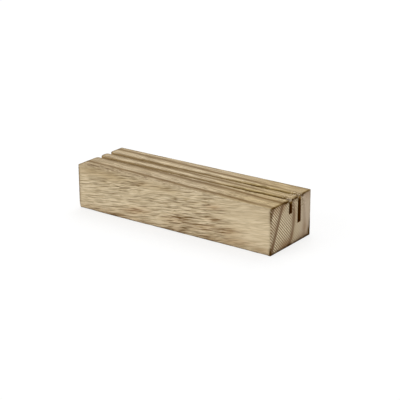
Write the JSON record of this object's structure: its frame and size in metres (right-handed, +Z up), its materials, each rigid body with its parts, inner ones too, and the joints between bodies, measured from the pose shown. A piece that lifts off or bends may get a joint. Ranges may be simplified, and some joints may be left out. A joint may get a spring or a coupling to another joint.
{
  "type": "place card holder",
  "caption": "Small solid-wood block with full-length saw slots of different depths along its top, which hold a place card upright.",
  "frame": {"origin": "centre of the flat bottom face, which the block rests on", "axes": "+X along the length and the slots, +Y from the front face to the rear face beside the deep slot, +Z up"},
  "size_m": [0.1, 0.03, 0.02],
  "materials": {
    "light_wood": "sanded, unfinished, matt"
  },
  "bodies": {
    "root": {"holder_block": "light_wood"}
  },
  "joints": []
}
